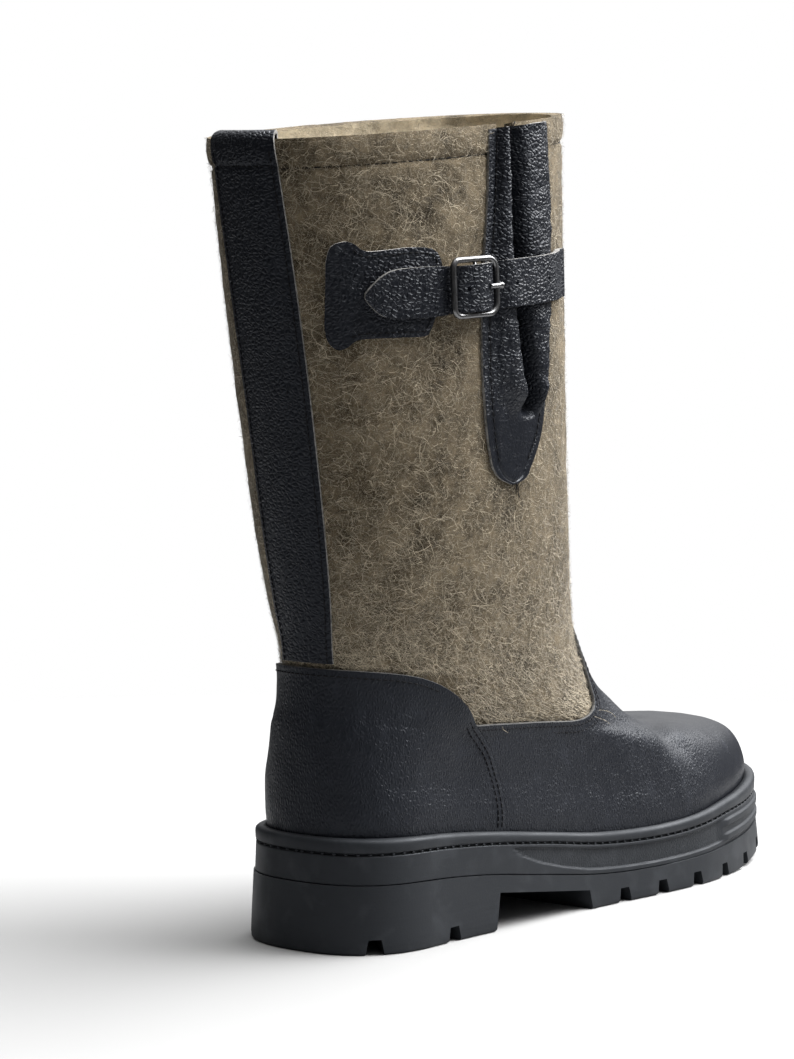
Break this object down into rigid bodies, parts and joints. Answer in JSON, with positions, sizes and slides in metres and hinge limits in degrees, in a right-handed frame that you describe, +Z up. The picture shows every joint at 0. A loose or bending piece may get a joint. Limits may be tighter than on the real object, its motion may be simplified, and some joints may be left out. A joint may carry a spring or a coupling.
{
  "type": "felt boot",
  "caption": "Mid-calf right boot of wool felt with leather vamp, heel counter and back strip, a strapped and buckled side gusset, and a lugged rubber cup sole.",
  "frame": {"origin": "on the floor under the middle of the heel, at the centre of the heel's round back", "axes": "+X to the toe, +Y to the inner side of the foot, +Z up the shaft"},
  "size_m": [0.3409, 0.1122, 0.3264],
  "materials": {
    "outsole_rubber": "satin",
    "midsole_rubber": "satin",
    "footbed_felt": "matte",
    "wool_felt": "matte",
    "leather": "pebbled, soft gloss",
    "buckle_steel": "polished"
  },
  "bodies": {
    "root": {"outsole": "outsole_rubber", "midsole": "midsole_rubber", "insole": "footbed_felt", "upper": "wool_felt", "vamp": "leather", "heel_counter": "leather", "back_strip": "leather", "gusset": "leather", "buckle_tab": "leather", "strap": "leather", "buckle_frame": "buckle_steel", "buckle_prong": "buckle_steel"}
  },
  "joints": []
}
